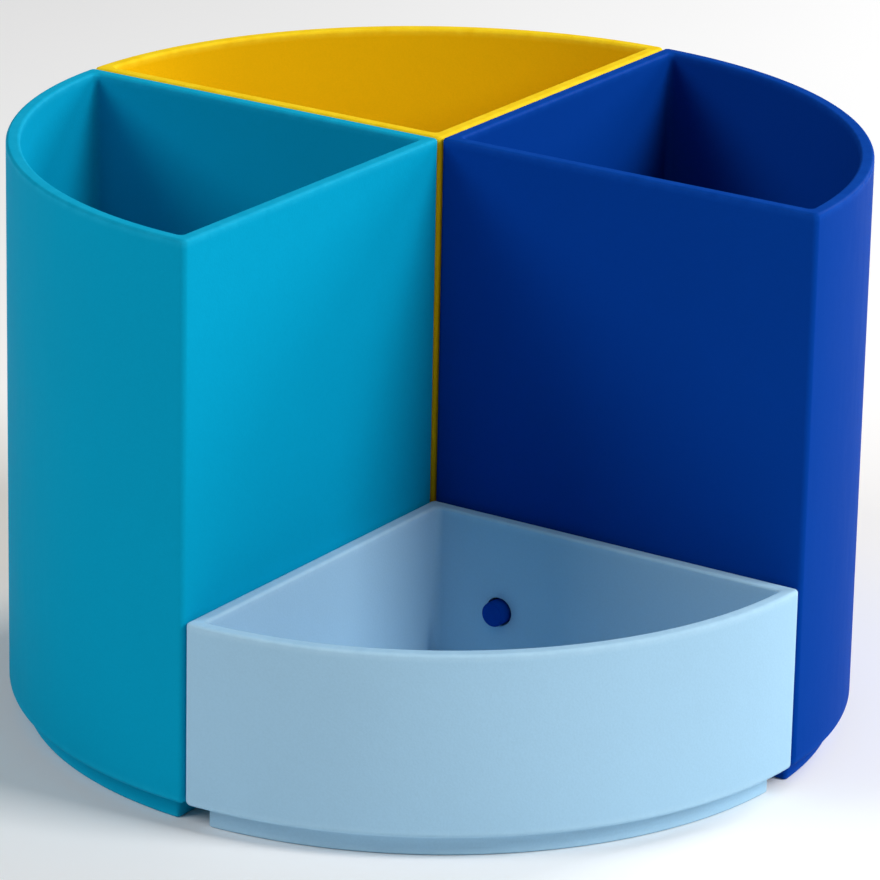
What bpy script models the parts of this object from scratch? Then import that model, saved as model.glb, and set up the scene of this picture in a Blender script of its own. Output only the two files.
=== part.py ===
"""Round desk organizer: three tall quarter-round pots and one low quarter-round tray.

Each of the four modules is one moulding: two flat walls at a right angle, a curved outer wall, a floor and
a set-back foot. Every module has a round stud on one flat wall and a round hole in the other, so that the
four plug together in a ring, each stud standing in the next module's hole.
Lengths are in millimetres and are turned into metres when the meshes are made.
"""

import math

import bmesh
import bpy
from mathutils import Matrix, Vector

MM = 0.001

# Overall size of the closed organizer
OUTER_RADIUS = 75.0
POT_HEIGHT = 103.5
TRAY_HEIGHT = 37.1

# The gap between two neighbouring flat walls
MODULE_GAP = 0.3

# Walls
WALL = 2.5
WALL_DRAFT = math.tan(math.radians(0.25))
RIM_ROUND = 0.6
BOTTOM_ROUND = 1.0

# Radii of the upright corners: in the middle of the organizer, then where a flat wall meets the curved one
OUTER_CORNERS = (0.9, 1.0)
INNER_CORNERS = (1.4, 1.2)
FLOOR_CORNERS = (0.9, 0.9)
FOOT_CORNERS = (1.0, 0.7)
RECESS_CORNERS = (1.0, 1.0)
SMALLEST_CORNER = 0.15

# Foot and floor
FOOT_INSET = 2.9
FOOT_HEIGHT = 4.1
FOOT_CHAMFER = 0.4
FOOT_RING_WIDTH = 2.4
RECESS_DEPTH = 2.4
FLOOR_THICKNESS = 2.4
FLOOR_ROUND = 1.5

# Stud and hole, measured along the flat wall from the middle of the organizer and up from the table
JOIN_OFFSET = 16.0
JOIN_HEIGHT = 20.2
HOLE_RADIUS = 2.55
STUD_RADIUS = 2.25
STUD_ROOT = 1.2
STUD_REACH = 4.9
STUD_TIP_CHAMFER = 0.5
CUTTER_START = -1.5
CUTTER_END = 5.0

# Fineness of the curved faces
ARC_SEGMENTS = 26
CORNER_SEGMENTS = 4
ROUND_SEGMENTS = 3
JOIN_SEGMENTS = 28

SHARP_ANGLE = math.radians(32.0)

# Name, quarter turns from the quadrant between +X and +Y, height, colour
MODULES = (
    ("navy_pot", 0, POT_HEIGHT, (0.001, 0.045, 0.31)),
    ("yellow_pot", 1, POT_HEIGHT, (0.86, 0.53, 0.003)),
    ("turquoise_pot", 2, POT_HEIGHT, (0.001, 0.335, 0.555)),
    ("light_blue_tray", 3, TRAY_HEIGHT, (0.38, 0.62, 0.81)),
)


def clear_scene():
    for item in list(bpy.data.objects):
        bpy.data.objects.remove(item, do_unlink=True)


def arc_points(centre_x, centre_y, radius, start, end, segments):
    points = []
    for step in range(segments + 1):
        angle = start + (end - start) * step / segments
        points.append((centre_x + radius * math.cos(angle), centre_y + radius * math.sin(angle)))
    return points


def quarter_outline(inset, corners):
    """The quarter-round plan, counter-clockwise, moved inwards by inset, with its three corners rounded."""
    middle, end = corners
    side = MODULE_GAP / 2 + inset
    arc_radius = OUTER_RADIUS - inset
    near = side + end
    far = math.sqrt((arc_radius - end) ** 2 - near**2)
    swing = math.atan2(near, far)
    points = arc_points(side + middle, side + middle, middle, math.pi, 1.5 * math.pi, CORNER_SEGMENTS)
    points += arc_points(far, near, end, -0.5 * math.pi, swing, CORNER_SEGMENTS)
    points += arc_points(0.0, 0.0, arc_radius, swing, 0.5 * math.pi - swing, ARC_SEGMENTS)[1:-1]
    points += arc_points(near, far, end, 0.5 * math.pi - swing, math.pi, CORNER_SEGMENTS)
    return points


def tightened(corners, inset):
    """The radii of corners that are moved inwards by inset."""
    return tuple(max(radius - inset, SMALLEST_CORNER) for radius in corners)


def blend(first, second, share):
    return tuple(a + (b - a) * share for a, b in zip(first, second))


def module_rings(height):
    """The skin as rings of (height, inset, corner radii), from the recess up, over the rim, to the floor."""
    floor_top = RECESS_DEPTH + FLOOR_THICKNESS
    recess_inset = FOOT_INSET + FOOT_RING_WIDTH
    rings = [
        (RECESS_DEPTH, recess_inset, RECESS_CORNERS),
        (0.0, recess_inset, RECESS_CORNERS),
        (0.0, FOOT_INSET + FOOT_CHAMFER, tightened(FOOT_CORNERS, FOOT_CHAMFER)),
        (FOOT_CHAMFER, FOOT_INSET, FOOT_CORNERS),
        (FOOT_HEIGHT, FOOT_INSET, FOOT_CORNERS),
    ]
    turns = [0.5 * math.pi * step / ROUND_SEGMENTS for step in range(ROUND_SEGMENTS + 1)]
    for turn in turns:
        rise = BOTTOM_ROUND * (1 - math.cos(turn))
        inset = BOTTOM_ROUND * (1 - math.sin(turn))
        rings.append((FOOT_HEIGHT + rise, inset, tightened(OUTER_CORNERS, inset)))
    for turn in turns:
        drop = RIM_ROUND * (1 - math.sin(turn))
        inset = RIM_ROUND * (1 - math.cos(turn))
        rings.append((height - drop, inset, tightened(OUTER_CORNERS, inset)))
    rim_corners = tightened(OUTER_CORNERS, RIM_ROUND)
    for turn in turns:
        drop = RIM_ROUND * (1 - math.cos(turn))
        inset = WALL - RIM_ROUND * (1 - math.sin(turn))
        share = (inset - RIM_ROUND) / (WALL - RIM_ROUND)
        rings.append((height - drop, inset, blend(rim_corners, INNER_CORNERS, share)))
    wall_at_floor = WALL + WALL_DRAFT * (height - RIM_ROUND - floor_top - FLOOR_ROUND)
    for turn in turns:
        rise = FLOOR_ROUND * (1 - math.sin(turn))
        inset = wall_at_floor + FLOOR_ROUND * (1 - math.cos(turn))
        share = 2 * turn / math.pi
        rings.append((floor_top + rise, inset, blend(INNER_CORNERS, FLOOR_CORNERS, share)))
    return rings


def skin(rings):
    """One closed mesh through rings of equal point count, capped at both ends."""
    mesh = bmesh.new()
    loops = []
    for ring in rings:
        loops.append([mesh.verts.new(Vector(point) * MM) for point in ring])
    for lower, upper in zip(loops, loops[1:]):
        count = len(lower)
        for index in range(count):
            following = (index + 1) % count
            mesh.faces.new((lower[index], lower[following], upper[following], upper[index]))
    mesh.faces.new(list(reversed(loops[0])))
    mesh.faces.new(loops[-1])
    bmesh.ops.recalc_face_normals(mesh, faces=mesh.faces)
    return mesh


def module_shell(height):
    rings = []
    for level, inset, corners in module_rings(height):
        rings.append([(x, y, level) for x, y in quarter_outline(inset, corners)])
    return skin(rings)


def round_bar(stations, place):
    """A round bar through (distance, radius) stations, with place turning (distance, u, v) into a point."""
    rings = []
    for distance, radius in stations:
        circle = arc_points(0.0, 0.0, radius, 0.0, 2 * math.pi, JOIN_SEGMENTS)[:-1]
        rings.append([place(distance, u, v) for u, v in circle])
    return skin(rings)


def out_of_stud_wall(distance, across, up):
    """Distance runs along -Y, out of the flat wall that carries the stud."""
    return (JOIN_OFFSET + across, -distance, JOIN_HEIGHT + up)


def into_hole_wall(distance, across, up):
    """Distance runs along +X, into the flat wall that has the hole."""
    return (distance, JOIN_OFFSET + across, JOIN_HEIGHT + up)


def stud_bar():
    stations = [
        (-STUD_ROOT, STUD_RADIUS),
        (STUD_REACH - STUD_TIP_CHAMFER, STUD_RADIUS),
        (STUD_REACH, STUD_RADIUS - STUD_TIP_CHAMFER),
    ]
    return round_bar(stations, out_of_stud_wall)


def hole_bar():
    stations = [(CUTTER_START, HOLE_RADIUS), (CUTTER_END, HOLE_RADIUS)]
    return round_bar(stations, into_hole_wall)


def make_object(name, mesh):
    data = bpy.data.meshes.new(name)
    mesh.to_mesh(data)
    mesh.free()
    item = bpy.data.objects.new(name, data)
    bpy.context.scene.collection.objects.link(item)
    return item


def make_material(name, colour):
    material = bpy.data.materials.new(name)
    material.use_nodes = True
    shader = material.node_tree.nodes["Principled BSDF"]
    shader.inputs["Base Color"].default_value = (*colour, 1.0)
    shader.inputs["Roughness"].default_value = 0.52
    shader.inputs["IOR"].default_value = 1.49
    material.diffuse_color = (*colour, 1.0)
    return material


def bake_booleans(item, tools):
    """Join the stud to the shell and cut the hole, then keep the result as the object's own mesh."""
    for operation, tool in tools:
        modifier = item.modifiers.new(operation.lower(), "BOOLEAN")
        modifier.operation = operation
        modifier.solver = "EXACT"
        modifier.object = tool
    graph = bpy.context.evaluated_depsgraph_get()
    baked = bpy.data.meshes.new_from_object(item.evaluated_get(graph))
    item.modifiers.clear()
    item.data = baked
    for _, tool in tools:
        bpy.data.objects.remove(tool, do_unlink=True)


def shade(item):
    """Smooth shading with sharp edges where two faces meet at a clear angle."""
    mesh = bmesh.new()
    mesh.from_mesh(item.data)
    for face in mesh.faces:
        face.smooth = True
    for edge in mesh.edges:
        edge.smooth = edge.calc_face_angle(0.0) < SHARP_ANGLE
    mesh.to_mesh(item.data)
    mesh.free()


def build_module(name, quarter_turns, height, colour):
    item = make_object(name, module_shell(height))
    stud = make_object(name + "_stud_tool", stud_bar())
    hole = make_object(name + "_hole_tool", hole_bar())
    bake_booleans(item, [("UNION", stud), ("DIFFERENCE", hole)])
    item.data.transform(Matrix.Rotation(quarter_turns * 0.5 * math.pi, 4, "Z"))
    item.data.materials.clear()
    item.data.materials.append(make_material(name, colour))
    item.data.name = name
    shade(item)
    return item


clear_scene()
for module in MODULES:
    build_module(*module)
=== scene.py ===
"""Looks of the round desk organizer: four moulded plastic modules on a pale studio floor.

Every module is one skin lofted through rounded quarter-circle rings, from the recess under its foot, up over
its rim and down to its floor, with its stud joined on and its hole cut.
Lengths are in metres.
"""

import math

import bmesh
import bpy
from mathutils import Matrix, Vector


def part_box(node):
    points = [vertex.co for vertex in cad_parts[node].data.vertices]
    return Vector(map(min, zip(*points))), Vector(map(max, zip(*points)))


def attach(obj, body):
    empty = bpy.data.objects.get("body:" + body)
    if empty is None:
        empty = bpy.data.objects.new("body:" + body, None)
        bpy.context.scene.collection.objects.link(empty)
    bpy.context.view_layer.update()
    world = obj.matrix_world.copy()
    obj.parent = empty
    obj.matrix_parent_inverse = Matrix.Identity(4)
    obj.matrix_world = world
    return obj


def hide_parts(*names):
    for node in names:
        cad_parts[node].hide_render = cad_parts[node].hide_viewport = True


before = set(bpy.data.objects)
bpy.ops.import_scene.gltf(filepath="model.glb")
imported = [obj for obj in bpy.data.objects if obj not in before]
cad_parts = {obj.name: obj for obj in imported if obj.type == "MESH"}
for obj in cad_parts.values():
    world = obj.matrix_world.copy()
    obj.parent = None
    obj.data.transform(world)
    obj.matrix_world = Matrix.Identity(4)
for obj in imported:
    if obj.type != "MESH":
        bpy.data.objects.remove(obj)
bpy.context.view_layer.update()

MM = 0.001

# Sizes read from the frame: the navy pot fills the quadrant between +X and +Y
NAVY_LOW, NAVY_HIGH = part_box("navy_pot")
OUTER_RADIUS = NAVY_HIGH.x
POT_HEIGHT = NAVY_HIGH.z
TRAY_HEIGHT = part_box("light_blue_tray")[1].z
WALL_SETBACK = NAVY_LOW.x
STUD_REACH = -NAVY_LOW.y

# Walls
WALL = 2.5 * MM
WALL_DRAFT = math.tan(math.radians(0.25))
RIM_ROUND = 0.6 * MM
BOTTOM_ROUND = 1.0 * MM

# Radii of the upright corners: in the middle of the organizer, then where a flat wall meets the curved one
OUTER_CORNERS = (0.9 * MM, 1.0 * MM)
INNER_CORNERS = (1.4 * MM, 1.2 * MM)
FLOOR_CORNERS = (0.9 * MM, 0.9 * MM)
FOOT_CORNERS = (1.0 * MM, 0.7 * MM)
RECESS_CORNERS = (1.0 * MM, 1.0 * MM)
SMALLEST_CORNER = 0.15 * MM

# Foot and floor
FOOT_INSET = 2.9 * MM
FOOT_HEIGHT = 4.1 * MM
FOOT_ROUND = 0.4 * MM
FOOT_RING_WIDTH = 2.4 * MM
RECESS_DEPTH = 2.4 * MM
RECESS_ROUND = 0.5 * MM
FLOOR_HEIGHT = 4.8 * MM
FLOOR_ROUND = 1.5 * MM

# Stud and hole, measured along the flat wall from the middle of the organizer and up from the table
JOIN_OFFSET = 16.0 * MM
JOIN_HEIGHT = 20.2 * MM
HOLE_RADIUS = 2.55 * MM
HOLE_MOUTH_ROUND = 0.2 * MM
STUD_RADIUS = 2.25 * MM
STUD_ROOT = 1.2 * MM
STUD_ROOT_ROUND = 0.12 * MM
STUD_TIP_ROUND = 0.5 * MM
CUTTER_MARGIN = 1.5 * MM

# Fineness of the curved faces, and the tallest band of faces on a wall
ARC_SEGMENTS = 96
CORNER_SEGMENTS = 10
ROUND_SEGMENTS = 6
JOIN_SEGMENTS = 64
WALL_BAND = 12.0 * MM

# The angles of a rounded edge, from 0 to a right angle
ROUND_ANGLES = [0.5 * math.pi * step / ROUND_SEGMENTS for step in range(ROUND_SEGMENTS + 1)]

# Vertex attribute that says how much of the lighter edge colour an edge takes, and how far beyond the edge
# it fades out: rub wear on the foot's bottom edges, painted highlight along both rounds of the rim, and half
# the lighter colour on the walls' rounded bottom edge
WEAR_AND_HIGHLIGHT = "wear_and_highlight"
FULLY_LIGHTENED = 1.0
HALF_LIGHTENED = 0.5
NOT_LIGHTENED = 0.0
LIGHTENING_FADE = 0.9 * MM


def arc_points(centre_x, centre_y, radius, start, end, segments):
    points = []
    for step in range(segments + 1):
        angle = start + (end - start) * step / segments
        points.append((centre_x + radius * math.cos(angle), centre_y + radius * math.sin(angle)))
    return points


def quarter_outline(inset, corners):
    """The quarter-round plan, counter-clockwise, moved inwards by inset, with its three corners rounded."""
    middle, end = corners
    side = WALL_SETBACK + inset
    arc_radius = OUTER_RADIUS - inset
    near = side + end
    far = math.sqrt((arc_radius - end) ** 2 - near**2)
    swing = math.atan2(near, far)
    points = arc_points(side + middle, side + middle, middle, math.pi, 1.5 * math.pi, CORNER_SEGMENTS)
    points += arc_points(far, near, end, -0.5 * math.pi, swing, CORNER_SEGMENTS)
    points += arc_points(0.0, 0.0, arc_radius, swing, 0.5 * math.pi - swing, ARC_SEGMENTS)[1:-1]
    points += arc_points(near, far, end, 0.5 * math.pi - swing, math.pi, CORNER_SEGMENTS)
    return points


def tightened(corners, inset):
    """The radii of corners that are moved inwards by inset."""
    return tuple(max(radius - inset, SMALLEST_CORNER) for radius in corners)


def blend(first, second, share):
    return tuple(a + (b - a) * share for a, b in zip(first, second))


def even_steps(start, end):
    """Values between start and end, leaving both out, at most WALL_BAND apart."""
    count = math.ceil(abs(end - start) / WALL_BAND)
    return [start + (end - start) * step / count for step in range(1, count)]


def foot_rings():
    """The foot from its recessed underside, round its bottom ring and up its outside.

    Each ring is (height, inset, corner radii, share of the lighter edge colour), as in wall_rings; on the
    foot that colour is rub wear.
    """
    recess_inset = FOOT_INSET + FOOT_RING_WIDTH
    rings = []
    for turn in ROUND_ANGLES:
        level = RECESS_DEPTH - RECESS_ROUND * (1 - math.cos(turn))
        inset = recess_inset + RECESS_ROUND * (1 - math.sin(turn))
        rings.append((level, inset, RECESS_CORNERS, NOT_LIGHTENED))
    for turn in ROUND_ANGLES:
        level = FOOT_ROUND * (1 - math.sin(turn))
        inset = recess_inset - FOOT_ROUND * (1 - math.cos(turn))
        rings.append((level, inset, RECESS_CORNERS, FULLY_LIGHTENED))
    for turn in ROUND_ANGLES:
        level = FOOT_ROUND * (1 - math.cos(turn))
        inset = FOOT_INSET + FOOT_ROUND * (1 - math.sin(turn))
        rings.append((level, inset, tightened(FOOT_CORNERS, inset - FOOT_INSET), FULLY_LIGHTENED))
    rings.append((FOOT_ROUND + LIGHTENING_FADE, FOOT_INSET, FOOT_CORNERS, NOT_LIGHTENED))
    rings.append((FOOT_HEIGHT, FOOT_INSET, FOOT_CORNERS, NOT_LIGHTENED))
    return rings


def wall_rings(height):
    """The walls' rounded bottom edge, their outside, the rim, their inside and the rounded floor edge."""
    rings = []
    for turn in ROUND_ANGLES:
        level = FOOT_HEIGHT + BOTTOM_ROUND * (1 - math.cos(turn))
        inset = BOTTOM_ROUND * (1 - math.sin(turn))
        rings.append((level, inset, tightened(OUTER_CORNERS, inset), HALF_LIGHTENED))
    bottom = FOOT_HEIGHT + BOTTOM_ROUND + LIGHTENING_FADE
    top = height - RIM_ROUND - LIGHTENING_FADE
    for level in [bottom] + even_steps(bottom, top) + [top]:
        rings.append((level, 0.0, OUTER_CORNERS, NOT_LIGHTENED))
    # Both rounds of the rim take the full lighter edge colour: a painted highlight along the rim.
    for turn in ROUND_ANGLES:
        level = height - RIM_ROUND * (1 - math.sin(turn))
        inset = RIM_ROUND * (1 - math.cos(turn))
        rings.append((level, inset, tightened(OUTER_CORNERS, inset), FULLY_LIGHTENED))
    rim_corners = tightened(OUTER_CORNERS, RIM_ROUND)
    for turn in ROUND_ANGLES:
        level = height - RIM_ROUND * (1 - math.cos(turn))
        inset = WALL - RIM_ROUND * (1 - math.sin(turn))
        share = (inset - RIM_ROUND) / (WALL - RIM_ROUND)
        rings.append((level, inset, blend(rim_corners, INNER_CORNERS, share), FULLY_LIGHTENED))
    bottom = FLOOR_HEIGHT + FLOOR_ROUND
    for level in [top] + even_steps(top, bottom):
        inset = WALL + WALL_DRAFT * (height - RIM_ROUND - level)
        rings.append((level, inset, INNER_CORNERS, NOT_LIGHTENED))
    wall_at_floor = WALL + WALL_DRAFT * (height - RIM_ROUND - bottom)
    for turn in ROUND_ANGLES:
        level = FLOOR_HEIGHT + FLOOR_ROUND * (1 - math.sin(turn))
        inset = wall_at_floor + FLOOR_ROUND * (1 - math.cos(turn))
        corners = blend(INNER_CORNERS, FLOOR_CORNERS, 2 * turn / math.pi)
        rings.append((level, inset, corners, NOT_LIGHTENED))
    return rings


def skin(rings, wear_and_highlight):
    """One closed mesh through rings of equal point count, capped at both ends, with a value a ring for the
    lighter edge colour: rub wear on the foot, painted highlight on the rims.
    """
    mesh = bmesh.new()
    layer = mesh.verts.layers.float.new(WEAR_AND_HIGHLIGHT)
    loops = []
    for ring, value in zip(rings, wear_and_highlight):
        loop = [mesh.verts.new(Vector(point)) for point in ring]
        for vert in loop:
            vert[layer] = value
        loops.append(loop)
    for lower, upper in zip(loops, loops[1:]):
        count = len(lower)
        for index in range(count):
            following = (index + 1) % count
            mesh.faces.new((lower[index], lower[following], upper[following], upper[index]))
    mesh.faces.new(list(reversed(loops[0])))
    mesh.faces.new(loops[-1])
    bmesh.ops.recalc_face_normals(mesh, faces=mesh.faces)
    return mesh


def module_shell(height):
    outlines = []
    wear_and_highlight = []
    for level, inset, corners, value in foot_rings() + wall_rings(height):
        outlines.append([(x, y, level) for x, y in quarter_outline(inset, corners)])
        wear_and_highlight.append(value)
    return skin(outlines, wear_and_highlight)


def round_bar(stations, place):
    """A round bar through (distance, radius) stations; place turns (distance, across, up) into a point."""
    rings = []
    for distance, radius in stations:
        circle = arc_points(0.0, 0.0, radius, 0.0, 2 * math.pi, JOIN_SEGMENTS)[:-1]
        rings.append([place(distance, across, up) for across, up in circle])
    return skin(rings, [NOT_LIGHTENED] * len(rings))


def out_of_stud_wall(distance, across, up):
    """Distance runs along -Y, out of the flat wall that carries the stud."""
    return (JOIN_OFFSET + across, -distance, JOIN_HEIGHT + up)


def into_hole_wall(distance, across, up):
    """Distance runs along +X, into the flat wall that has the hole."""
    return (distance, JOIN_OFFSET + across, JOIN_HEIGHT + up)


def stud_bar():
    """The stud, with a small fillet where it leaves the wall and a rounded tip."""
    wide = STUD_RADIUS + STUD_ROOT_ROUND
    stations = [(-STUD_ROOT, wide), (-WALL_SETBACK, wide)]
    for turn in ROUND_ANGLES[1:]:
        distance = -WALL_SETBACK + STUD_ROOT_ROUND * (1 - math.cos(turn))
        stations.append((distance, wide - STUD_ROOT_ROUND * math.sin(turn)))
    for turn in ROUND_ANGLES:
        distance = STUD_REACH - STUD_TIP_ROUND * (1 - math.sin(turn))
        stations.append((distance, STUD_RADIUS - STUD_TIP_ROUND * (1 - math.cos(turn))))
    return round_bar(stations, out_of_stud_wall)


def hole_bar(height):
    """The cutter for the hole, wider at both faces of the wall so that the hole's mouths are rounded."""
    outer_face = WALL_SETBACK
    inner_face = WALL_SETBACK + WALL + WALL_DRAFT * (height - RIM_ROUND - JOIN_HEIGHT)
    wide = HOLE_RADIUS + HOLE_MOUTH_ROUND
    stations = [(outer_face - CUTTER_MARGIN, wide)]
    for turn in ROUND_ANGLES:
        distance = outer_face + HOLE_MOUTH_ROUND * (1 - math.cos(turn))
        stations.append((distance, wide - HOLE_MOUTH_ROUND * math.sin(turn)))
    for turn in reversed(ROUND_ANGLES):
        distance = inner_face - HOLE_MOUTH_ROUND * (1 - math.cos(turn))
        stations.append((distance, wide - HOLE_MOUTH_ROUND * math.sin(turn)))
    stations.append((inner_face + CUTTER_MARGIN, wide))
    return round_bar(stations, into_hole_wall)


def make_object(name, mesh):
    data = bpy.data.meshes.new(name)
    mesh.to_mesh(data)
    mesh.free()
    item = bpy.data.objects.new(name, data)
    bpy.context.scene.collection.objects.link(item)
    return item


def bake_booleans(item, tools):
    """Join the stud to the shell and cut the hole, then keep the result as the object's own mesh."""
    for operation, tool in tools:
        modifier = item.modifiers.new(operation.lower(), "BOOLEAN")
        modifier.operation = operation
        modifier.solver = "EXACT"
        modifier.object = tool
    graph = bpy.context.evaluated_depsgraph_get()
    baked = bpy.data.meshes.new_from_object(item.evaluated_get(graph))
    item.modifiers.clear()
    item.data = baked
    for _, tool in tools:
        bpy.data.objects.remove(tool, do_unlink=True)


def shade_smooth(item):
    """Smooth shading whose normals follow the large faces, so that the flat walls stay flat."""
    for polygon in item.data.polygons:
        polygon.use_smooth = True
    modifier = item.modifiers.new("flat_walls", "WEIGHTED_NORMAL")
    modifier.mode = "FACE_AREA"
    modifier.weight = 100
    modifier.keep_sharp = False


def build_module(node, turns, height, material):
    """Build the module in the quadrant between +X and +Y, then turn it about +Z by quarter turns."""
    name = node + "_moulding"
    body = node + "_body"
    item = make_object(name, module_shell(height))
    stud = make_object(name + "_stud_tool", stud_bar())
    hole = make_object(name + "_hole_tool", hole_bar(height))
    bake_booleans(item, [("UNION", stud), ("DIFFERENCE", hole)])
    item.data.transform(Matrix.Rotation(turns * 0.5 * math.pi, 4, "Z"))
    item.data.name = name
    item.data.materials.clear()
    item.data.materials.append(material)
    shade_smooth(item)
    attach(item, body)
    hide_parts(node)


class Nodes:
    """Short calls for building a material's node tree."""

    def __init__(self, material):
        self.tree = material.node_tree
        self.shader = self.tree.nodes["Principled BSDF"]
        self.place = self.add("ShaderNodeTexCoord").outputs["Object"]

    def add(self, kind):
        return self.tree.nodes.new(kind)

    def link(self, source, target):
        self.tree.links.new(source, target)

    def noise(self, scale, detail=2.0, stretch=(1.0, 1.0, 1.0)):
        mapping = self.add("ShaderNodeMapping")
        mapping.inputs["Scale"].default_value = stretch
        self.link(self.place, mapping.inputs["Vector"])
        noise = self.add("ShaderNodeTexNoise")
        noise.inputs["Scale"].default_value = scale
        noise.inputs["Detail"].default_value = detail
        self.link(mapping.outputs["Vector"], noise.inputs["Vector"])
        return noise.outputs["Fac"]

    def spread(self, value, low, high, from_low=0.3, from_high=0.7):
        """Maps a noise value's usual range to the range from low to high."""
        node = self.add("ShaderNodeMapRange")
        node.inputs["From Min"].default_value = from_low
        node.inputs["From Max"].default_value = from_high
        node.inputs["To Min"].default_value = low
        node.inputs["To Max"].default_value = high
        self.link(value, node.inputs["Value"])
        return node.outputs["Result"]

    def maths(self, operation, first, second):
        node = self.add("ShaderNodeMath")
        node.operation = operation
        for socket, value in zip(node.inputs, (first, second)):
            if isinstance(value, float):
                socket.default_value = value
            else:
                self.link(value, socket)
        return node.outputs["Value"]

    def mix(self, share, first, second):
        """Mixes two colours, each a tuple or another node's output."""
        node = self.add("ShaderNodeMix")
        node.data_type = "RGBA"
        self.link(share, node.inputs["Factor"])
        for socket, value in ((node.inputs["A"], first), (node.inputs["B"], second)):
            if isinstance(value, tuple):
                socket.default_value = (*value, 1.0)
            else:
                self.link(value, socket)
        return node.outputs["Result"]


# Satin moulded plastic
PLASTIC_IOR = 1.49
PLASTIC_SPECULAR = 0.01
PLASTIC_ROUGHNESS = 0.58

# Scales of the noises, per metre, and how far two of them are drawn out along the upright
MOTTLE_SCALE = 38.0
STREAK_SCALE = 26.0
GRAIN_SCALE = 2600.0
LIGHTENING_PATCH_SCALE = 420.0
SCUFF_SCALE = 520.0
UNEVEN_SCALE = 300.0
STREAK_STRETCH = (1.0, 1.0, 0.25)
SCUFF_STRETCH = (1.0, 1.0, 0.12)

# How dark the body colour gets, and the shares of mottling, streaks and grain in its tone
DARKEST_TONE = 0.93
CLOUD_SHARE = 0.35
GRAIN_SHARE = 0.5

# How much of the lighter colour shows on the marked edges, rub wear on the foot and painted highlight on the
# rims, from the least to the most
LIGHTENING_LEAST = 0.25
LIGHTENING_MOST = 0.7

# Changes of roughness: with the mottling, in fine scuffs and on rubbed edges
MOTTLE_DULLING = 0.03
SCUFF_SMOOTHEST = -0.025
SCUFF_ROUGHEST = 0.05
RUB_POLISHING = -0.05

# Relief: the grain's height against the surface's unevenness, and the height of both
GRAIN_HEIGHT = 0.5
RELIEF_STRENGTH = 0.7
RELIEF_HEIGHT = 0.06 * MM


def plastic_colour(nodes, colour, lighter, mottle, grain, wear_and_highlight):
    """Body colour with faint mottling, flow streaks and grain, lighter on the marked edges: rub wear on the
    foot, a painted highlight on the rims.
    """
    darker = tuple(DARKEST_TONE * channel for channel in colour)
    streaks = nodes.noise(STREAK_SCALE, detail=2.0, stretch=STREAK_STRETCH)
    clouds = nodes.maths(
        "ADD", nodes.spread(mottle, 0.0, CLOUD_SHARE), nodes.spread(streaks, 0.0, CLOUD_SHARE)
    )
    tone = nodes.maths("ADD", clouds, nodes.spread(grain, 0.0, GRAIN_SHARE))
    # Patchy share of the lighter colour on the marked edges: painted highlight on the rims, rub wear on the
    # foot.
    patchy = nodes.spread(nodes.noise(LIGHTENING_PATCH_SCALE, detail=4.0), LIGHTENING_LEAST, LIGHTENING_MOST)
    lightened = nodes.maths("MULTIPLY", wear_and_highlight, patchy)
    return nodes.mix(lightened, nodes.mix(tone, darker, colour), lighter)


def plastic_roughness(nodes, mottle, wear_and_highlight):
    """Roughness that follows the mottling, changes in fine scuffs and drops on rubbed edges."""
    dull = nodes.spread(mottle, PLASTIC_ROUGHNESS - MOTTLE_DULLING, PLASTIC_ROUGHNESS + MOTTLE_DULLING)
    scuffs = nodes.noise(SCUFF_SCALE, detail=5.0, stretch=SCUFF_STRETCH)
    scuffing = nodes.spread(scuffs, SCUFF_SMOOTHEST, SCUFF_ROUGHEST, from_low=0.35, from_high=0.75)
    polishing = nodes.maths("MULTIPLY", wear_and_highlight, RUB_POLISHING)
    return nodes.maths("ADD", nodes.maths("ADD", dull, scuffing), polishing)


def plastic_relief(nodes, grain):
    """The eroded grain of the mould over a slightly uneven surface."""
    uneven = nodes.noise(UNEVEN_SCALE, detail=1.0)
    bump = nodes.add("ShaderNodeBump")
    bump.inputs["Strength"].default_value = RELIEF_STRENGTH
    bump.inputs["Distance"].default_value = RELIEF_HEIGHT
    height = nodes.maths("ADD", nodes.maths("MULTIPLY", grain, GRAIN_HEIGHT), uneven)
    nodes.link(height, bump.inputs["Height"])
    return bump.outputs["Normal"]


def moulded_plastic(name, colour, lighter):
    material = bpy.data.materials.new(name)
    material.use_nodes = True
    nodes = Nodes(material)
    mottle = nodes.noise(MOTTLE_SCALE, detail=3.0)
    grain = nodes.noise(GRAIN_SCALE, detail=2.0)
    attribute = nodes.add("ShaderNodeAttribute")
    attribute.attribute_name = WEAR_AND_HIGHLIGHT
    wear_and_highlight = attribute.outputs["Fac"]
    inputs = nodes.shader.inputs
    inputs["IOR"].default_value = PLASTIC_IOR
    inputs["Specular IOR Level"].default_value = PLASTIC_SPECULAR
    nodes.link(plastic_colour(nodes, colour, lighter, mottle, grain, wear_and_highlight), inputs["Base Color"])
    nodes.link(plastic_roughness(nodes, mottle, wear_and_highlight), inputs["Roughness"])
    nodes.link(plastic_relief(nodes, grain), inputs["Normal"])
    return material


# Studio floor, just under the feet so that the two don't share a plane
FLOOR_REACH = 4.0
FLOOR_SEGMENTS = 8
FLOOR_LEVEL = -0.05 * MM
FLOOR_DARKER = (0.91, 0.91, 0.91)
FLOOR_LIGHTER = (0.93, 0.93, 0.93)
FLOOR_CLOUD_SCALE = 3.0
FLOOR_ROUGHNESS = 0.8
FLOOR_SPECULAR = 0.2


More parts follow.
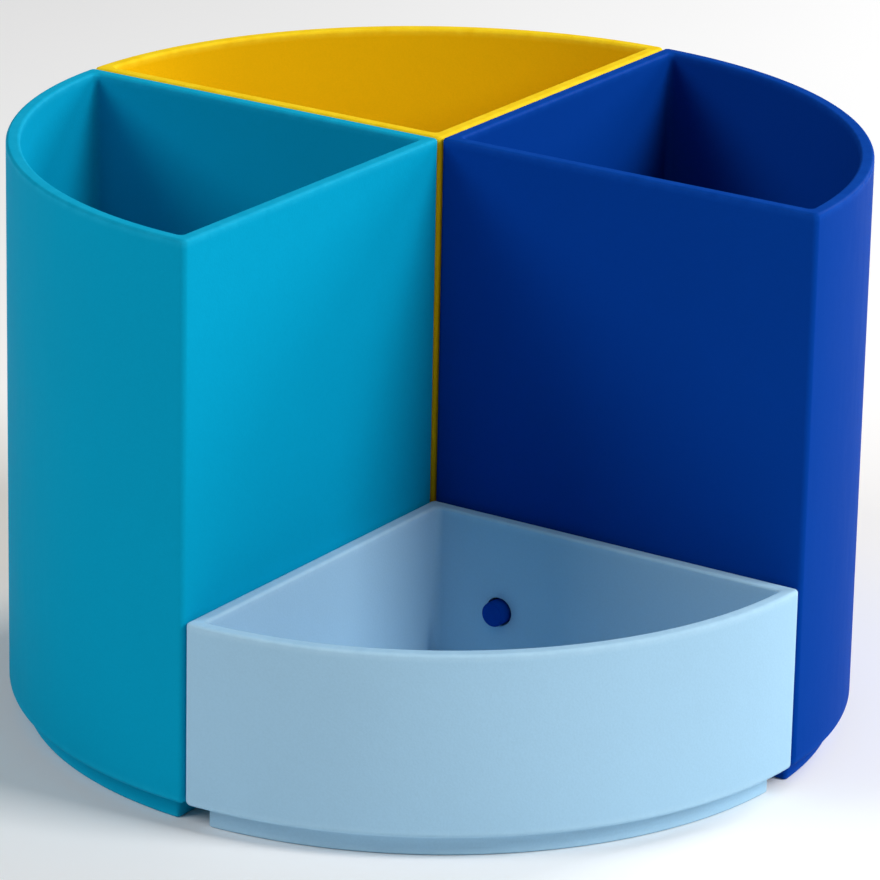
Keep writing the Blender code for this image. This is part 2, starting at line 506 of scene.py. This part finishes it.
def build_floor():
    mesh = bmesh.new()
    bmesh.ops.create_grid(mesh, x_segments=FLOOR_SEGMENTS, y_segments=FLOOR_SEGMENTS, size=FLOOR_REACH)
    bmesh.ops.translate(mesh, verts=mesh.verts, vec=(0.0, 0.0, FLOOR_LEVEL))
    floor = make_object("studio_floor", mesh)
    material = bpy.data.materials.new("pale_floor")
    material.use_nodes = True
    nodes = Nodes(material)
    shade = nodes.spread(nodes.noise(FLOOR_CLOUD_SCALE), 0.0, 1.0)
    nodes.link(nodes.mix(shade, FLOOR_DARKER, FLOOR_LIGHTER), nodes.shader.inputs["Base Color"])
    nodes.shader.inputs["Roughness"].default_value = FLOOR_ROUGHNESS
    nodes.shader.inputs["Specular IOR Level"].default_value = FLOOR_SPECULAR
    floor.data.materials.append(material)


# Studio lights: name, turn about +Z from +X and height above the aim point in degrees, width, watts
LIGHTS = (
    ("key", 10.0, 35.0, 0.4, 11.0),
    ("left_fill", 236.0, 33.0, 0.5, 5.4),
    ("front_fill", 290.0, 45.0, 0.6, 0.8),
    ("rear_fill", 75.0, 25.0, 0.5, 10.0),
)
LIGHT_DISTANCE = 1.2
LIGHT_HEIGHT = 0.5
LIGHT_AIM = Vector((0.0, 0.0, 0.05))
WORLD_COLOUR = (1.0, 1.0, 1.0, 1.0)
WORLD_STRENGTH = 0.1


def direction(azimuth, elevation):
    """The direction at azimuth about +Z from +X and at elevation above the level, both in radians."""
    level = math.cos(elevation)
    return Vector((math.cos(azimuth) * level, math.sin(azimuth) * level, math.sin(elevation)))


def build_lights():
    for name, turn, height, width, watts in LIGHTS:
        data = bpy.data.lights.new(name, "AREA")
        data.shape = "RECTANGLE"
        data.size = width
        data.size_y = LIGHT_HEIGHT
        data.energy = watts
        light = bpy.data.objects.new(name, data)
        away = direction(math.radians(turn), math.radians(height))
        light.location = LIGHT_AIM + LIGHT_DISTANCE * away
        light.rotation_euler = away.to_track_quat("Z", "Y").to_euler()
        bpy.context.scene.collection.objects.link(light)
    world = bpy.data.worlds.new("studio")
    world.use_nodes = True
    background = world.node_tree.nodes["Background"]
    background.inputs["Color"].default_value = WORLD_COLOUR
    background.inputs["Strength"].default_value = WORLD_STRENGTH
    bpy.context.scene.world = world


# Camera: azimuth 0 looks along +Y and turns towards -X; the roll tips the camera's right side up
CAMERA_AZIMUTH = math.radians(33.1)
CAMERA_ELEVATION = math.radians(19.35)
CAMERA_ROLL = math.radians(1.18)
CAMERA_DISTANCE = 0.9653
CAMERA_AIM = Vector((0.0012, 0.0, 0.0484))
SENSOR_WIDTH = 36.0
FOCAL_LENGTH = 224.1
FARTHEST_SEEN = 20.0


def build_camera():
    ahead = direction(0.5 * math.pi + CAMERA_AZIMUTH, -CAMERA_ELEVATION)
    right = direction(CAMERA_AZIMUTH, 0.0)
    above = right.cross(ahead)
    rolled_right = math.cos(CAMERA_ROLL) * right + math.sin(CAMERA_ROLL) * above
    rolled_above = -math.sin(CAMERA_ROLL) * right + math.cos(CAMERA_ROLL) * above
    turn = Matrix((rolled_right, rolled_above, -ahead)).transposed().to_4x4()
    data = bpy.data.cameras.new("camera")
    data.sensor_width = SENSOR_WIDTH
    data.lens = FOCAL_LENGTH
    data.clip_end = FARTHEST_SEEN
    camera = bpy.data.objects.new("camera", data)
    camera.matrix_world = Matrix.Translation(CAMERA_AIM - CAMERA_DISTANCE * ahead) @ turn
    bpy.context.scene.collection.objects.link(camera)
    bpy.context.scene.camera = camera


# Body colour, then the lighter colour of the marked edges: rub wear on the foot, painted highlight on the
# rims
NAVY = ((0.001, 0.045, 0.31), (0.004, 0.065, 0.39))
YELLOW = ((0.86, 0.53, 0.003), (0.97, 0.74, 0.03))
TURQUOISE = ((0.001, 0.335, 0.555), (0.01, 0.4, 0.63))
LIGHT_BLUE = ((0.38, 0.62, 0.81), (0.45, 0.69, 0.86))

# Node, material slot, quarter turns from the quadrant between +X and +Y, height, colours
MODULES = (
    ("navy_pot", "navy_plastic", 0, POT_HEIGHT, NAVY),
    ("yellow_pot", "yellow_plastic", 1, POT_HEIGHT, YELLOW),
    ("turquoise_pot", "turquoise_plastic", 2, POT_HEIGHT, TURQUOISE),
    ("light_blue_tray", "light_blue_plastic", 3, TRAY_HEIGHT, LIGHT_BLUE),
)

for node, slot, turns, height, colours in MODULES:
    build_module(node, turns, height, moulded_plastic(slot, *colours))

build_floor()
build_lights()
build_camera()
bpy.context.scene.view_settings.view_transform = "Standard"
